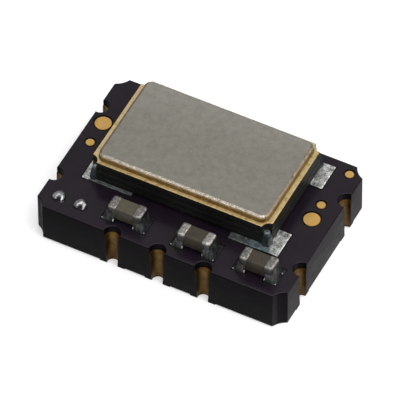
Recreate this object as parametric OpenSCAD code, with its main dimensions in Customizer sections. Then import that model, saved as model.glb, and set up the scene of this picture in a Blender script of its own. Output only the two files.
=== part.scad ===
// Surface-mount crystal oscillator: a sealed ceramic package and three chip capacitors on a small
// laminate board with ten plated half-round edge terminals.
// X runs along the long side, -Y is the side with the capacitors, and Z = 0 is the face of the feet.

/* [Board] */
// Distance from the package lands to the left edge of the board
left_margin = 0.755; // [0.7:0.005:1.2]
// Distance from the package lands to the right edge of the board
right_margin = 0.795; // [0.7:0.005:1.2]
// Distance from the package lands to the back edge of the board
back_margin = 0.29; // [0.2:0.01:0.6]
// Thickness of the laminate board
board_t = 1.25; // [0.6:0.05:2]
// Leg of the cut at each corner of the board
corner_cut = 0.3; // [0.15:0.05:0.4]
// Radius of the cutter that scoops out each corner
corner_cutter_r = 0.55; // [0.4:0.05:2]
// Thickness of the copper lands, which lie in openings of the solder mask
land_t = 0.03; // [0.02:0.005:0.05]
// Gap between a land and the edge of its opening in the mask
mask_gap = 0.03; // [0.02:0.005:0.06]

/* [Edge terminals] */
// Radius of the drilled notches in the board's edge
notch_r = 0.225; // [0.18:0.005:0.26]
// How far the centre of a notch lies inside the edge
notch_inset = 0.04; // [0.02:0.005:0.08]
// Thickness of the plating on the wall of a notch
plating_t = 0.03; // [0.02:0.005:0.06]
// Height of bare wall above the plating
bare_wall_h = 0.21; // [0.05:0.01:0.3]
// Spacing of the three notches along each long edge
long_edge_pitch = 1.36; // [1.1:0.01:1.7]
// Spacing of the two notches along each short edge
short_edge_pitch = 2.68; // [2.4:0.01:2.9]
// Width of the foot under each notch, along the edge
foot_w = 0.75; // [0.6:0.01:0.95]
// Length of the foot, from the edge inwards
foot_l = 0.95; // [0.6:0.01:1.1]
// Thickness of the foot, which stands proud of the board's underside
foot_t = 0.04; // [0.02:0.005:0.08]

/* [Probe pads and vias] */
// Diameter of the two large probe pads
large_pad_d = 0.5; // [0.35:0.01:0.52]
// Diameter of the three small probe pads
small_pad_d = 0.28; // [0.2:0.01:0.36]
// Distance of the left pads from the left edge
left_pad_inset = 0.39; // [0.32:0.01:0.42]
// How far the large pad on the left lies behind the middle of the package
left_large_pad_y = 0.33; // [0.2:0.005:0.38]
// How far the small pad on the left lies in front of the middle of the package
left_small_pad_y = 0.43; // [0.3:0.005:0.8]
// Distance of the right pads from the right edge
right_pad_inset = 0.57; // [0.5:0.01:0.6]
// How far the large pad on the right lies in front of the middle of the package
right_large_pad_y = 0.16; // [0.1:0.005:0.38]
// How far the small pad on the right lies behind the middle of the package
right_small_pad_y = 0.4; // [0.37:0.005:0.55]
// Distance of the corner pad from the right edge
corner_pad_inset_x = 0.37; // [0.34:0.01:0.45]
// Distance of the corner pad from the back edge
corner_pad_inset_y = 0.34; // [0.33:0.01:0.5]
// Diameter of the drilled via holes
via_d = 0.2; // [0.12:0.01:0.26]
// Diameter of the solder bead on a via
via_bead_d = 0.4; // [0.3:0.01:0.45]
// Height of the solder bead on a via
via_bead_h = 0.16; // [0.08:0.01:0.18]
// Distance of the first via from the left edge
via_inset_x = 0.51; // [0.4:0.01:0.6]
// Distance of the vias from the front edge
via_inset_y = 0.49; // [0.45:0.01:0.7]
// Spacing of the two vias
via_pitch = 0.65; // [0.55:0.01:0.7]

/* [Ceramic package] */
// Height of the ceramic base
ceramic_h = 0.67; // [0.6:0.01:0.9]
// How far the package settled along the board from the middle of its lands
package_shift_x = -0.07; // [-0.1:0.01:0.1]
// How far the package settled across the board from the middle of its lands
package_shift_y = 0.07; // [-0.05:0.005:0.08]
// Radius of the hollow at each corner of the ceramic base
corner_hollow_r = 0.22; // [0.15:0.01:0.26]
// Thickness of the metal on the ceramic
metal_t = 0.015; // [0.01:0.001:0.03]
// Width of the gold ledge outside each end of the sealing ring
end_ledge_w = 0.15; // [0.08:0.01:0.2]
// Width of the gold ledge along each side of the sealing ring
side_ledge_w = 0.12; // [0.08:0.01:0.2]
// Wall of the sealing ring
ring_wall = 0.35; // [0.2:0.01:0.45]
// Height of the sealing ring
ring_h = 0.1; // [0.08:0.005:0.3]
// Outer corner radius of the sealing ring
ring_corner_r = 0.22; // [0.12:0.01:0.4]
// Thickness of the lid
lid_t = 0.1; // [0.06:0.01:0.15]
// How far the lid's edge stands inside the ring's edge
lid_inset = 0.01; // [0:0.01:0.08]
// Depth of the step rolled into the lid's edge by the seam weld
lid_step_h = 0.025; // [0.01:0.005:0.05]
// Width of the step along the lid's edge
lid_step_w = 0.06; // [0.04:0.01:0.15]
// Thickness of the ceramic floor
floor_t = 0.16; // [0.12:0.01:0.25]
// Width of the shelf at each end of the cavity
end_shelf_w = 0.6; // [0.5:0.01:0.8]
// Width of the shelf along each side of the cavity
side_shelf_w = 0.2; // [0.1:0.01:0.3]
// Corner radius of the cavity
cavity_corner_r = 0.12; // [0.05:0.01:0.2]
// Length of a solder terminal under the package
terminal_l = 1.2; // [0.9:0.01:1.3]
// Width of a solder terminal under the package
terminal_w = 0.85; // [0.7:0.01:1.05]
// Height of the metal in the corner hollows
hollow_metal_h = 0.54; // [0.4:0.01:0.58]

/* [Quartz blank] */
// Length of the quartz blank
blank_l = 3.8; // [3.4:0.01:4]
// Width of the quartz blank
blank_w = 1.7; // [1.5:0.01:1.8]
// Thickness of the quartz blank
blank_t = 0.05; // [0.03:0.005:0.08]
// Gap between the blank's fixed end and the wall of the cavity
blank_end_gap = 0.17; // [0.1:0.01:0.25]
// Gap between the blank's free end and the wall of the cavity
blank_free_gap = 0.41; // [0.2:0.01:0.6]
// Gap between each side of the blank and the wall of the cavity
blank_side_gap = 0.305; // [0.2:0.005:0.4]
// Length of an electrode
electrode_l = 2.1; // [1.5:0.01:2.3]
// Width of an electrode
electrode_w = 1.1; // [0.8:0.01:1.3]
// Thickness of an electrode film
film_t = 0.01; // [0.005:0.001:0.015]
// Width of the tabs that lead to the fixed end
tab_w = 0.36; // [0.2:0.01:0.4]
// Spacing of the two tabs and adhesive dots
tab_pitch = 1.0; // [0.85:0.01:1.1]
// Diameter of an adhesive dot
dot_d = 0.3; // [0.2:0.01:0.36]
// Height of an adhesive dot
dot_h = 0.045; // [0.03:0.005:0.06]
// Margin of the shelf's gold pad round its dot
shelf_pad_margin = 0.03; // [0.01:0.005:0.04]
// Distance of a dot's centre from the blank's fixed end
dot_inset = 0.2; // [0.19:0.01:0.23]

/* [Oscillator chip] */
// Length of the chip
chip_l = 1.6; // [1.2:0.01:2]
// Width of the chip
chip_w = 1.2; // [0.9:0.01:1.5]
// Thickness of the chip
chip_t = 0.14; // [0.1:0.01:0.18]
// Diameter of a bump under the chip
bump_d = 0.09; // [0.06:0.01:0.12]
// Height of a bump
bump_h = 0.03; // [0.02:0.005:0.05]
// Spacing of the bumps along the chip
bump_pitch_x = 0.6; // [0.3:0.01:0.7]
// Spacing of the two rows of bumps
bump_pitch_y = 0.9; // [0.6:0.01:0.95]
// Clearance between the chip and the level of the shelf
chip_clearance = 0.06; // [0.04:0.01:0.1]

/* [Capacitors] */
// Length of a capacitor
cap_l = 1.02; // [0.9:0.01:1.1]
// Width of a capacitor
cap_w = 0.48; // [0.4:0.01:0.55]
// Height of a capacitor
cap_h = 0.49; // [0.35:0.01:0.55]
// Length of a capacitor's metal ends
cap_end_l = 0.24; // [0.15:0.01:0.3]
// Thickness of the metal on a capacitor's ends
cap_metal_t = 0.02; // [0.01:0.005:0.03]
// Radius on the edges of a capacitor's ends
cap_edge_r = 0.05; // [0.03:0.005:0.08]
// Distance of the capacitors' centres from the front edge
cap_inset_y = 0.67; // [0.6:0.01:0.72]
// Distance of the third capacitor's end from the right edge
cap_3_inset_x = 0.53; // [0.45:0.01:0.6]
// Gap between the first capacitor and the second
cap_gap_12 = 1.05; // [0.4:0.01:1.2]
// Gap between the second capacitor and the third
cap_gap_23 = 0.83; // [0.4:0.01:1]
// Gap between the capacitors' lands and the lands of the package
cap_package_gap = 0.29; // [0.12:0.01:0.5]
// Length of a capacitor's land
cap_land_l = 0.37; // [0.33:0.01:0.42]
// Width of a capacitor's land
cap_land_w = 0.62; // [0.58:0.01:0.68]
// How far a land reaches past the capacitor's end
cap_toe = 0.14; // [0.1:0.01:0.16]

/* [Solder] */
// Length of a package land
land_l = 1.5; // [1.35:0.01:1.6]
// Width of a package land
land_w = 0.87; // [0.8:0.01:1]
// How far the lands reach out past each end of the package
land_reach_x = 0.285; // [0.15:0.005:0.35]
// How far the lands reach out past each side of the package
land_reach_y = 0.13; // [0.1:0.005:0.2]
// How much further back the front left land lies
front_left_setback = 0.12; // [0:0.01:0.2]
// Thickness of the solder between a land and its terminal
joint_t = 0.05; // [0.03:0.005:0.1]
// Thickness of the solder film on the open part of a land
solder_film_t = 0.03; // [0.015:0.005:0.05]
// Height that the solder climbs in a corner hollow
climb_h = 0.5; // [0.35:0.01:0.52]
// Width of the solder's skirt round a corner hollow
skirt_w = 0.15; // [0.05:0.01:0.2]
// Height of the solder's skirt
skirt_h = 0.17; // [0.1:0.01:0.3]
// Height that the solder climbs on a capacitor's end
cap_climb_h = 0.42; // [0.2:0.01:0.44]
// Height that the solder climbs on a capacitor's sides
cap_side_climb_h = 0.3; // [0.1:0.01:0.34]

/* [Hidden] */
$fn = 48;

// Levels, from the feet upwards
board_top = foot_t + board_t;
land_floor = board_top - land_t;
terminal_bottom = board_top + joint_t;
ceramic_bottom = terminal_bottom + metal_t;
shelf_h = bump_h + chip_t + chip_clearance;
cavity_floor = ceramic_bottom + floor_t;
shelf_top = cavity_floor + shelf_h;
ceramic_top = ceramic_bottom + ceramic_h;
ring_bottom = ceramic_top + metal_t;
lid_bottom = ring_bottom + ring_h;
blank_bottom = shelf_top + metal_t + dot_h + film_t;

// Plan sizes, from the blank outwards to the board
cavity_l = blank_end_gap + blank_l + blank_free_gap;
cavity_w = blank_w + 2 * blank_side_gap;
ring_l = cavity_l + 2 * ring_wall;
ring_w = cavity_w + 2 * ring_wall;
package_l = ring_l + 2 * end_ledge_w;
package_w = ring_w + 2 * side_ledge_w;
land_span_l = package_l + 2 * land_reach_x;
land_span_w = package_w + 2 * land_reach_y;
board_l = left_margin + land_span_l + right_margin;
board_w = cap_inset_y + cap_land_w / 2 + cap_package_gap + land_span_w + back_margin;
land_centre_x = left_margin + land_span_l / 2 - board_l / 2;
land_centre_y = board_w / 2 - back_margin - land_span_w / 2;
package_x = land_centre_x + package_shift_x;
package_y = land_centre_y + package_shift_y;
hollow_bore_r = corner_hollow_r - metal_t;
blank_x = package_x - cavity_l / 2 + blank_end_gap + blank_l / 2;
blank_end_x = blank_x - blank_l / 2;
cap_y = -board_w / 2 + cap_inset_y;
cap_seat = board_top + solder_film_t;

// The cutters run past the faces that they open
over = 0.2;

// Radii of the hollow solder faces, as multiples of their height or, for the bowl, of its chord
skirt_arc = 2;
fillet_arc = 2.5;
bowl_arc = 0.8;

// One place for each edge terminal: its point on the edge and the direction that faces outwards
edge_places = [
    for (i = [-1 : 1]) [i * long_edge_pitch, -board_w / 2, 0],
    for (i = [-1, 1]) [board_l / 2, i * short_edge_pitch / 2, 90],
    for (i = [1 : -1 : -1]) [i * long_edge_pitch, board_w / 2, 180],
    for (i = [1, -1]) [-board_l / 2, i * short_edge_pitch / 2, 270]
];

// One place for each probe pad: its centre and its diameter
left_pad_x = -board_l / 2 + left_pad_inset;
right_pad_x = board_l / 2 - right_pad_inset;
probe_places = [
    [left_pad_x, land_centre_y + left_large_pad_y, large_pad_d],
    [left_pad_x, land_centre_y - left_small_pad_y, small_pad_d],
    [right_pad_x, land_centre_y - right_large_pad_y, large_pad_d],
    [right_pad_x, land_centre_y + right_small_pad_y, small_pad_d],
    [board_l / 2 - corner_pad_inset_x, board_w / 2 - corner_pad_inset_y, small_pad_d]
];

via_places = [for (i = [0, 1]) [-board_l / 2 + via_inset_x + i * via_pitch, -board_w / 2 + via_inset_y]];

// The four corners of the package, front left first and then round to the right
corner_signs = [[-1, -1], [1, -1], [1, 1], [-1, 1]];
land_places = [
    for (s = corner_signs) [
        land_centre_x + s[0] * (land_span_l - land_l) / 2,
        land_centre_y + s[1] * (land_span_w - land_w) / 2 + (s == [-1, -1] ? front_left_setback : 0)
    ]
];

cap_3_x = board_l / 2 - cap_3_inset_x - cap_l / 2;
cap_2_x = cap_3_x - cap_l - cap_gap_23;
cap_1_x = cap_2_x - cap_l - cap_gap_12;
cap_places = [cap_1_x, cap_2_x, cap_3_x];

// Flat outline with round corners
module rounded_rect(l, w, r) {
    square([l - 2 * r, w], center = true);
    square([l, w - 2 * r], center = true);
    for (x = [-1, 1], y = [-1, 1])
        translate([x * (l / 2 - r), y * (w / 2 - r)])
            circle(r = r);
}

// Flat plate with round corners, standing on the plane z = 0
module rounded_plate(l, w, t, r) {
    linear_extrude(t)
        rounded_rect(l, w, r);
}

// Block with all its edges rounded, centred in plan and standing on the plane z = 0
module rounded_block(l, w, h, r) {
    intersection() {
        rounded_plate(l, w, h, r);
        translate([0, w / 2 + over, h / 2])
            rotate([90, 0, 0])
                rounded_plate(l, h, w + 2 * over, r);
        translate([-l / 2 - over, 0, h / 2])
            rotate([90, 0, 90])
                rounded_plate(w, h, l + 2 * over, r);
    }
}

// Right-angled wedge with a hollow face: run along x, rise along y, and the face an arc
module hollow_wedge(run, rise, arc_r) {
    chord = sqrt(run * run + rise * rise);
    lift = sqrt(arc_r * arc_r - chord * chord / 4);
    difference() {
        polygon([[0, 0], [run, 0], [0, rise]]);
        translate([run / 2 + lift * rise / chord, rise / 2 + lift * run / chord])
            circle(r = arc_r);
    }
}

// Centre of the cutter that scoops out the corner at [sx, sy]
function scoop_centre(sx, sy) =
    let (cut_depth = sqrt(corner_cutter_r * corner_cutter_r - corner_cut * corner_cut / 2))
    let (reach = cut_depth / sqrt(2) - corner_cut / 2)
    [sx * (board_l / 2 + reach), sy * (board_w / 2 + reach)];

module circuit_board() {
    color("#2d2632")
        difference() {
            translate([-board_l / 2, -board_w / 2, foot_t])
                cube([board_l, board_w, board_t]);
            for (s = corner_signs)
                translate(scoop_centre(s[0], s[1]))
                    cylinder(r = corner_cutter_r, h = board_top + over);
            for (p = edge_places)
                translate([p[0], p[1], 0])
                    rotate([0, 0, p[2]])
                        translate([0, notch_inset, 0])
                            cylinder(r = notch_r, h = board_top + over);
            for (p = probe_places)
                translate([p[0], p[1], land_floor])
                    cylinder(d = p[2] + 2 * mask_gap, h = land_t + over);
            for (p = via_places)
                translate(p)
                    cylinder(d = via_d, h = board_top + over);
            for (p = land_places)
                translate([p[0], p[1], land_floor])
                    mask_opening(land_l, land_w);
            for (x = cap_places, side = [-1, 1])
                translate([cap_land_x(x, side), cap_y, land_floor])
                    mask_opening(cap_land_l, cap_land_w);
        }
}

// Cutter for the opening that the solder mask leaves round a land
module mask_opening(l, w) {
    translate([-l / 2 - mask_gap, -w / 2 - mask_gap, 0])
        cube([l + 2 * mask_gap, w + 2 * mask_gap, land_t + over]);
}

// Plated notch with its foot under the board
module castellation(i) {
    p = edge_places[i - 1];
    color("#b08a3c")
        translate([p[0], p[1], 0])
            rotate([0, 0, p[2]])
                difference() {
                    union() {
                        intersection() {
                            translate([0, notch_inset, 0])
                                cylinder(r = notch_r, h = board_top - bare_wall_h);
                            translate([-notch_r, 0, 0])
                                cube([2 * notch_r, 2 * notch_r, board_top]);
                        }
                        translate([-foot_w / 2, 0, 0])
                            cube([foot_w, foot_l, foot_t]);
                    }
                    translate([0, notch_inset, -over])
                        cylinder(r = notch_r - plating_t, h = board_top + 2 * over);
                }
}

module probe_pad(i) {
    p = probe_places[i - 1];
    color("#d3a85a")
        translate([p[0], p[1], land_floor])
            cylinder(d = p[2], h = land_t);
}

// Solder that fills a via and stands on it as a bead
module filled_via(i) {
    bead_r = (via_bead_d * via_bead_d / 4 + via_bead_h * via_bead_h) / (2 * via_bead_h);
    color("#c9c9c6")
        translate(via_places[i - 1]) {
            translate([0, 0, foot_t])
                cylinder(d = via_d, h = board_t);
            intersection() {
                translate([0, 0, board_top + via_bead_h - bead_r])
                    rotate([90, 0, 0])
                        sphere(r = bead_r);
                translate([0, 0, board_top])
                    cylinder(r = via_bead_d, h = 2 * via_bead_h);
            }
        }
}

module package_land(i) {
    p = land_places[i - 1];
    color("#b9b9b0")
        translate([p[0] - land_l / 2, p[1] - land_w / 2, land_floor])
            cube([land_l, land_w, land_t]);
}

// Moves its children to corner i of the package, with x and y pointing outwards
module at_corner(i) {
    s = corner_signs[i - 1];
    translate([package_x + s[0] * package_l / 2, package_y + s[1] * package_w / 2, 0])
        mirror([s[0] < 0 ? 1 : 0, 0, 0])
            mirror([0, s[1] < 0 ? 1 : 0, 0])
                children();
}

// Block that stands on the package land at p
module over_land(p, h) {
    translate([p[0] - land_l / 2, p[1] - land_w / 2, board_top])
        cube([land_l, land_w, h]);
}

// Solder under a terminal, over its land and up the corner hollow as a meniscus
module package_solder(i) {
    p = land_places[i - 1];
    wall_s = hollow_bore_r;
    foot_s = corner_hollow_r + skirt_w;
    rise = climb_h - solder_film_t;
    chord = sqrt((wall_s + foot_s) * (wall_s + foot_s) + rise * rise);
    bowl_r = bowl_arc * chord;
    lift = sqrt(bowl_r * bowl_r - chord * chord / 4);
    bowl_s = (foot_s - wall_s) / 2 + lift * rise / chord;
    bowl_z = board_top + solder_film_t + rise / 2 + lift * (wall_s + foot_s) / chord;
    color("#b7bab8")
        difference() {
            union() {
                over_land(p, solder_film_t);
                intersection() {
                    at_corner(i) {
                        translate([-terminal_l, -terminal_w, board_top])
                            cube([terminal_l, terminal_w, joint_t]);
                        difference() {
                            translate([0, 0, board_top])
                                rotate_extrude() {
                                    square([hollow_bore_r, climb_h]);
                                    translate([hollow_bore_r, 0])
                                        hollow_wedge(skirt_w + metal_t, skirt_h, skirt_arc * skirt_h);
                                }
                            translate([bowl_s / sqrt(2), bowl_s / sqrt(2), bowl_z])
                                sphere(r = bowl_r);
                        }
                    }
                    over_land(p, climb_h);
                }
            }
            ceramic_envelope();
            package_terminal_shape(i);
        }
}

// Outline of the ceramic base with its hollow corners
module ceramic_outline() {
    difference() {
        square([package_l, package_w], center = true);
        for (s = corner_signs)
            translate([s[0] * package_l / 2, s[1] * package_w / 2])
                circle(r = corner_hollow_r);
    }
}

module ceramic_envelope() {
    translate([package_x, package_y, ceramic_bottom])
        linear_extrude(ceramic_h)
            ceramic_outline();
}

// Terminal metal: a pad under the ceramic and a lining up the corner hollow
module package_terminal_shape(i) {
    at_corner(i)
        difference() {
            union() {
                translate([-terminal_l, -terminal_w, terminal_bottom])
                    cube([terminal_l, terminal_w, metal_t]);
                intersection() {
                    translate([0, 0, terminal_bottom])
                        cylinder(r = corner_hollow_r, h = hollow_metal_h);
                    translate([-corner_hollow_r, -corner_hollow_r, terminal_bottom])
                        cube([corner_hollow_r, corner_hollow_r, hollow_metal_h]);
                }
            }
            translate([0, 0, board_top])
                cylinder(r = hollow_bore_r, h = ceramic_top - board_top);
        }
}

module package_terminal(i) {
    color("#c89f50")
        package_terminal_shape(i);
}

module ceramic_base() {
    well_l = cavity_l - 2 * end_shelf_w;
    well_w = cavity_w - 2 * side_shelf_w;
    color("#2a2826")
        difference() {
            ceramic_envelope();
            translate([package_x, package_y, shelf_top])
                rounded_plate(cavity_l, cavity_w, ceramic_h, cavity_corner_r);
            translate([package_x, package_y, cavity_floor])
                rounded_plate(well_l, well_w, ceramic_h, cavity_corner_r);
        }
}

// Gold metal on the rim of the ceramic, which shows as a ledge outside the ring
module gold_rim() {
    color("#c9a055")
        translate([package_x, package_y, ceramic_top])
            difference() {
                linear_extrude(metal_t)
                    ceramic_outline();
                translate([0, 0, -over])
                    rounded_plate(cavity_l, cavity_w, metal_t + 2 * over, cavity_corner_r);
            }
}

module sealing_ring() {
    color("#7d663c")
        translate([package_x, package_y, ring_bottom])
            difference() {
                rounded_plate(ring_l, ring_w, ring_h, ring_corner_r);
                translate([0, 0, -over])
                    rounded_plate(cavity_l, cavity_w, ring_h + 2 * over, cavity_corner_r);
            }
}

// Lid with the shallow step that the seam weld rolls into its edge
module lid() {
    lid_l = ring_l - 2 * lid_inset;
    lid_w = ring_w - 2 * lid_inset;
    lid_corner_r = ring_corner_r - lid_inset;
    color("#8c887e")
        translate([package_x, package_y, lid_bottom]) {
            rounded_plate(lid_l, lid_w, lid_t - lid_step_h, lid_corner_r);
            translate([0, 0, lid_t - lid_step_h])
                rounded_plate(lid_l - 2 * lid_step_w, lid_w - 2 * lid_step_w, lid_step_h, lid_corner_r / 2);
        }
}

module quartz_blank() {
    color("#dfe6ea")
        translate([blank_x - blank_l / 2, package_y - blank_w / 2, blank_bottom])
            cube([blank_l, blank_w, blank_t]);
}

// Electrode film with a tab that runs to the fixed end on the side given by the sign
module electrode_film(side) {
    translate([blank_x - electrode_l / 2, package_y - electrode_w / 2, 0])
        cube([electrode_l, electrode_w, film_t]);
    translate([blank_end_x, package_y + side * tab_pitch / 2 - tab_w / 2, 0])
        cube([(blank_l - electrode_l) / 2 + tab_w, tab_w, film_t]);
}

// The top film's tab is folded round the end of the blank to meet its adhesive dot
module top_electrode() {
    tab_y = package_y - tab_pitch / 2 - tab_w / 2;
    fold_l = 2 * dot_inset;
    color("#d8c27a") {
        translate([0, 0, blank_bottom + blank_t])
            electrode_film(-1);
        translate([blank_end_x - film_t, tab_y, blank_bottom - film_t])
            cube([film_t, tab_w, blank_t + 2 * film_t]);
        translate([blank_end_x, tab_y, blank_bottom - film_t])
            cube([fold_l, tab_w, film_t]);
    }
}

module bottom_electrode() {
    color("#d8c27a")
        translate([0, 0, blank_bottom - film_t])
            electrode_film(1);
}

// Moves its children to the middle of an adhesive dot, at the level of the shelf
module at_dot(side) {
    translate([blank_end_x + dot_inset, package_y + side * tab_pitch / 2, shelf_top])
        children();
}

// Conductive adhesive: a low drum with a bulging side
module adhesive_dot(side) {
    color("#a8a9a6")
        at_dot(side)
            translate([0, 0, metal_t])
                rotate_extrude() {
                    square([dot_d / 2 - dot_h / 2, dot_h]);
                    intersection() {
                        translate([dot_d / 2 - dot_h / 2, dot_h / 2])
                            circle(d = dot_h);
                        square([dot_d, dot_h]);
                    }
                }
}

module shelf_pads() {
    pad = dot_d + 2 * shelf_pad_margin;
    color("#c89f50")
        for (side = [-1, 1])
            at_dot(side)
                translate([-pad / 2, -pad / 2, 0])
                    cube([pad, pad, metal_t]);
}

module oscillator_chip() {
    color("#5b5f68")
        translate([package_x - chip_l / 2, package_y - chip_w / 2, cavity_floor + bump_h])
            cube([chip_l, chip_w, chip_t]);
}

module chip_bumps() {
    color("#d3a85a")
        for (x = [-1 : 1], y = [-1, 1])
            translate([package_x + x * bump_pitch_x, package_y + y * bump_pitch_y / 2, cavity_floor])
                cylinder(d = bump_d, h = bump_h);
}

// X of the middle of the land at one end of the capacitor at x
function cap_land_x(x, side) = x + side * (cap_l / 2 + cap_toe - cap_land_l / 2);

module capacitor_lands() {
    color("#b9b9b0")
        for (x = cap_places, side = [-1, 1])
            translate([cap_land_x(x, side) - cap_land_l / 2, cap_y - cap_land_w / 2, land_floor])
                cube([cap_land_l, cap_land_w, land_t]);
}

// Solid of the ceramic block between and inside the metal ends
module capacitor_block() {
    inset = 2 * cap_metal_t;
    translate([0, 0, cap_metal_t])
        rounded_block(cap_l - inset, cap_w - inset, cap_h - inset, cap_edge_r / 2);
}

module capacitor_body(i) {
    color("#6e675a")
        translate([cap_places[i - 1], cap_y, cap_seat])
            capacitor_block();
}

// The two ends of capacitor 1 come first, left before right
function end_x(i) = cap_places[floor((i - 1) / 2)];
function end_side(i) = i % 2 == 1 ? -1 : 1;

// Moves its children to the capacitor of end i, turned so that the end points along +x
module at_cap_end(i) {
    translate([end_x(i), cap_y, 0])
        mirror([end_side(i) < 0 ? 1 : 0, 0, 0])
            children();
}

module capacitor_end_shape() {
    difference() {
        intersection() {
            rounded_block(cap_l, cap_w, cap_h, cap_edge_r);
            translate([cap_l / 2 - cap_end_l, -cap_w, -over])
                cube([cap_end_l + over, 2 * cap_w, cap_h + 2 * over]);
        }
        capacitor_block();
    }
}

module capacitor_end(i) {
    color("#c4c2bb")
        at_cap_end(i)
            translate([0, 0, cap_seat])
                capacitor_end_shape();
}

// Solder with a hollow face to the toe of the land and a slope on each side
module capacitor_solder(i) {
    inner_x = cap_l / 2 + cap_toe - cap_land_l;
    color("#a9aba8")
        at_cap_end(i)
            difference() {
                intersection() {
                    translate([0, cap_land_w / 2, board_top])
                        rotate([90, 0, 0])
                            linear_extrude(cap_land_w)
                                end_fillet_profile(inner_x);
                    translate([inner_x, 0, board_top])
                        rotate([90, 0, 90])
                            linear_extrude(cap_land_l)
                                side_fillet_profile();
                }
                translate([0, 0, cap_seat])
                    rounded_block(cap_l, cap_w, cap_h, cap_edge_r);
            }
}

// Along the capacitor: a flat run under the end and the hollow slope beyond it
module end_fillet_profile(inner_x) {
    translate([inner_x, 0])
        square([cap_land_l, solder_film_t]);
    translate([inner_x, 0])
        square([cap_l / 2 - inner_x, cap_climb_h]);
    translate([cap_l / 2, 0])
        hollow_wedge(cap_toe, cap_climb_h, fillet_arc * cap_climb_h);
}

// Across the capacitor: highest in the middle of the end, with a slope at each side that starts inside
// the block and is at the side climb's height where it comes out of it
module side_fillet_profile() {
    crest_w = cap_w - 4 * cap_edge_r;
    rise = cap_side_climb_h * (cap_land_w - crest_w) / (cap_land_w - cap_w);
    polygon([[-cap_land_w / 2, 0], [cap_land_w / 2, 0], [crest_w / 2, rise], [-crest_w / 2, rise]]);
    translate([-cap_land_w / 2, 0])
        square([cap_land_w, solder_film_t]);
}

circuit_board();
castellation(1);  // castellation_1
castellation(2);  // castellation_2
castellation(3);  // castellation_3
castellation(4);  // castellation_4
castellation(5);  // castellation_5
castellation(6);  // castellation_6
castellation(7);  // castellation_7
castellation(8);  // castellation_8
castellation(9);  // castellation_9
castellation(10);  // castellation_10
probe_pad(1);  // probe_pad_1
probe_pad(2);  // probe_pad_2
probe_pad(3);  // probe_pad_3
probe_pad(4);  // probe_pad_4
probe_pad(5);  // probe_pad_5
filled_via(1);  // filled_via_1
filled_via(2);  // filled_via_2
package_land(1);  // package_land_1
package_land(2);  // package_land_2
package_land(3);  // package_land_3
package_land(4);  // package_land_4
package_solder(1);  // package_solder_1
package_solder(2);  // package_solder_2
package_solder(3);  // package_solder_3
package_solder(4);  // package_solder_4
package_terminal(1);  // package_terminal_1
package_terminal(2);  // package_terminal_2
package_terminal(3);  // package_terminal_3
package_terminal(4);  // package_terminal_4
ceramic_base();
gold_rim();
sealing_ring();
lid();
quartz_blank();
top_electrode();
bottom_electrode();
adhesive_dot(-1);  // adhesive_dot_1
adhesive_dot(1);  // adhesive_dot_2
shelf_pads();
oscillator_chip();
chip_bumps();
capacitor_body(1);  // capacitor_body_1
capacitor_body(2);  // capacitor_body_2
capacitor_body(3);  // capacitor_body_3
capacitor_end(1);  // capacitor_end_1
capacitor_end(2);  // capacitor_end_2
capacitor_end(3);  // capacitor_end_3
capacitor_end(4);  // capacitor_end_4
capacitor_end(5);  // capacitor_end_5
capacitor_end(6);  // capacitor_end_6
capacitor_solder(1);  // capacitor_solder_1
capacitor_solder(2);  // capacitor_solder_2
capacitor_solder(3);  // capacitor_solder_3
capacitor_solder(4);  // capacitor_solder_4
capacitor_solder(5);  // capacitor_solder_5
capacitor_solder(6);  // capacitor_solder_6
capacitor_lands();
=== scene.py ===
import math

import bpy
import bmesh
from mathutils import Matrix, Vector, noise


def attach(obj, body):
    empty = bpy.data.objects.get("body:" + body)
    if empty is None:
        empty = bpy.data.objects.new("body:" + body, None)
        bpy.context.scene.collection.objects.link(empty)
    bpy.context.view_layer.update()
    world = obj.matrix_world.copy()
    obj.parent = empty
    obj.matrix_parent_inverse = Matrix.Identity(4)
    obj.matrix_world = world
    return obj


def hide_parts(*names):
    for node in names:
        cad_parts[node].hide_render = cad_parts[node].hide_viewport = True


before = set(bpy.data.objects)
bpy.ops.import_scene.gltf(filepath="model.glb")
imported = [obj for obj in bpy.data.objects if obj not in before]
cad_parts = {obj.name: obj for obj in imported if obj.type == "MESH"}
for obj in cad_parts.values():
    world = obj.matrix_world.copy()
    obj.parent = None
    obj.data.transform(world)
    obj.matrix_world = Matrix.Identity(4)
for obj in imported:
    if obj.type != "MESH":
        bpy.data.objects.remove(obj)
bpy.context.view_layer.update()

# Circuit board. The real one is a black glass laminate, 1.25 mm thick, with a dark purple solder
# mask on top. Its ends are painted lighter than its long sides, as painted light from the side,
# with a coarser relief and a little more gloss; the corners are scooped, and ten half-round notches
# are left from holes that were drilled on the cut line.
MM = 0.001
BOARD_L, BOARD_W = 7.5, 5.07
BOARD_BOTTOM, BOARD_TOP = 0.04, 1.29
CORNER_CUT, CORNER_CUTTER_R = 0.3, 0.55
EDGE_SOFT = 0.032
NOTCH_R, NOTCH_INSET = 0.225, 0.04
LONG_NOTCHES, SHORT_NOTCHES = (-1.36, 0.0, 1.36), (-1.34, 1.34)
LEVEL_FACE = 0.9999


def arc(x, y, r, start, end, steps):
    """Points in mm along an arc, with its angles in degrees."""
    angles = [math.radians(start + (end - start) * i / steps) for i in range(steps + 1)]
    return [(x + r * math.cos(a), y + r * math.sin(a)) for a in angles]


def soften(outline, inset):
    """The outline moved inwards by an inset, each point along its own normal."""
    moved = []
    for i, (x, y) in enumerate(outline):
        x0, y0 = outline[i - 1]
        x1, y1 = outline[(i + 1) % len(outline)]
        d0, d1 = Vector((x - x0, y - y0)).normalized(), Vector((x1 - x, y1 - y)).normalized()
        n = Vector((-d0.y - d1.y, d0.x + d1.x))
        n = n.normalized() / max(0.5, math.sqrt((1 + d0.dot(d1)) / 2))
        moved.append((x + n.x * inset, y + n.y * inset))
    return moved


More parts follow.
